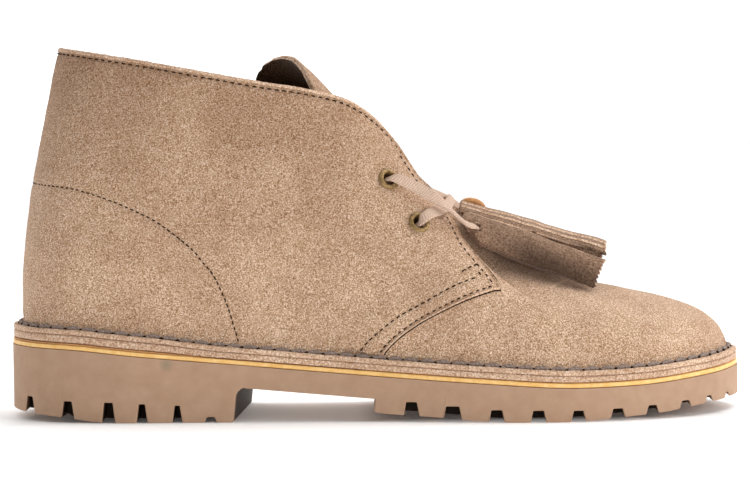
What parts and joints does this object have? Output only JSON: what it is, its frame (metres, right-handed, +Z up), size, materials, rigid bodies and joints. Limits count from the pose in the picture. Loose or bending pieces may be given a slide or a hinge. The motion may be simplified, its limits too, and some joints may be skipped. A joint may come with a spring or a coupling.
{
  "type": "chukka boot",
  "caption": "Right suede chukka boot: hollow upper with open collar and throat, tongue, laced eyelets, slit fringe, stitchdown flange and lugged rubber sole with a separate heel.",
  "frame": {"origin": "on the floor, under the middle of the boot's box", "axes": "+X towards the toe, +Z up, outer side of the foot on -Y"},
  "size_m": [0.3, 0.107, 0.1512],
  "materials": {
    "suede": "napped sand suede",
    "rubber": "matt taupe rubber",
    "midsole_line": "satin yellow rubber",
    "filler": "cut edge",
    "insole": "smooth brown",
    "brass": "aged",
    "lace": "flat woven cotton"
  },
  "bodies": {
    "root": {"outsole": "rubber", "midsole": "midsole_line", "heel_filler": "filler", "welt": "suede", "upper": "suede", "insole": "insole", "tongue": "suede", "eyelet_outer_upper": "brass", "eyelet_inner_upper": "brass", "eyelet_outer_lower": "brass", "eyelet_inner_lower": "brass", "lace_crossing": "lace", "lace_end_outer": "lace", "lace_end_inner": "lace", "fringe_top": "suede", "fringe_under": "suede", "fringe_loop": "suede"}
  },
  "joints": []
}
